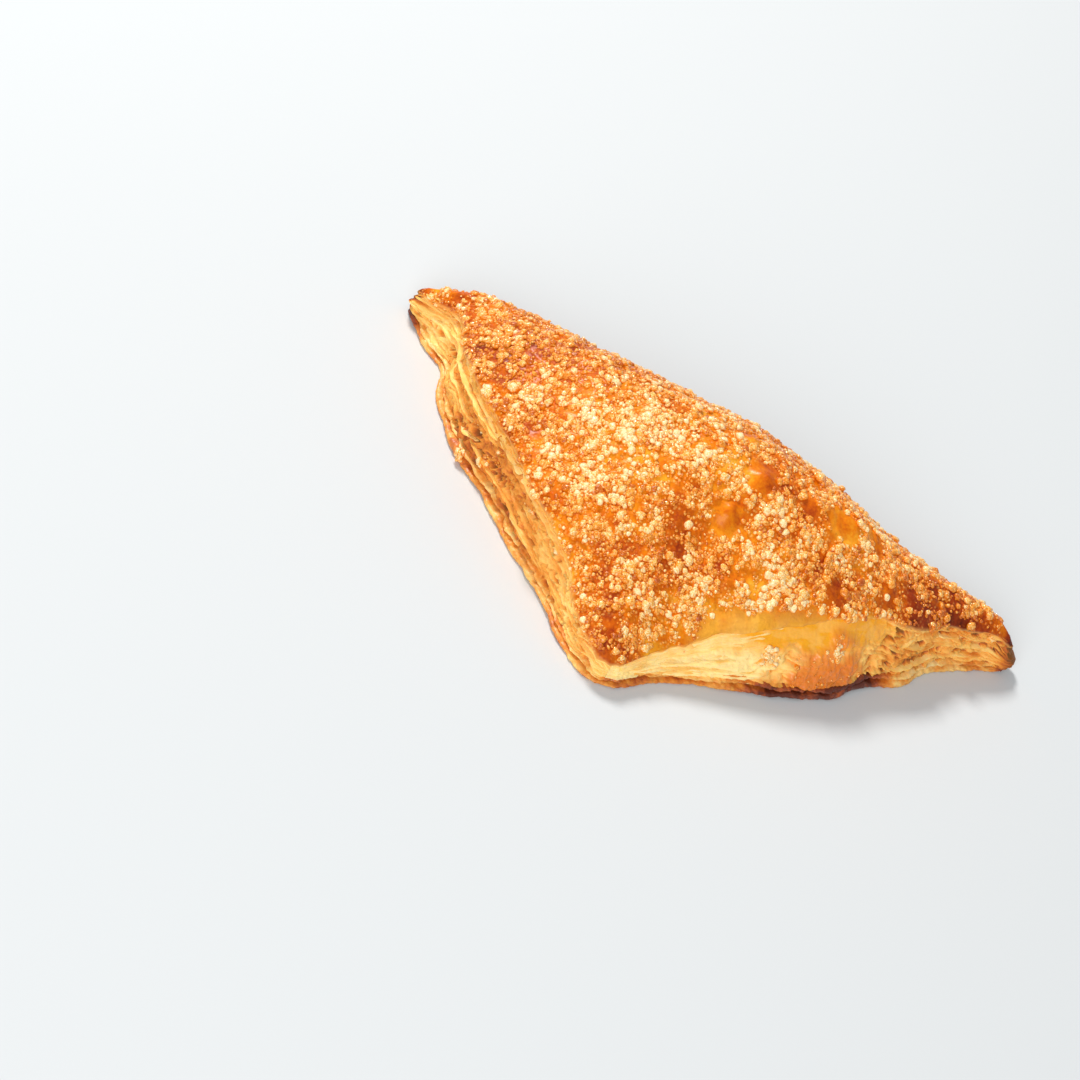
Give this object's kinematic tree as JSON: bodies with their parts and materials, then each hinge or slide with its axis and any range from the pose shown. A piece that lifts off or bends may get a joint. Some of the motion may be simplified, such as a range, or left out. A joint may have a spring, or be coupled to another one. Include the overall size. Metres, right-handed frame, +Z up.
{
  "type": "turnover pastry",
  "caption": "Baked puff pastry turnover: a folded triangle with a puffed, sugared top and two cut sides that show thin layers",
  "frame": {"origin": "centre of the bounding box, at the level of the flat underside", "axes": "+X along the fold, +Y from the right-angled corner towards the fold, +Z up from the table"},
  "size_m": [0.1674, 0.0894, 0.0338],
  "materials": {
    "crust": "browned, part glazed",
    "cut_layers": "dull, flaky",
    "sugar": "coarse clear grains"
  },
  "bodies": {
    "root": {"pastry": "crust"}
  },
  "joints": []
}
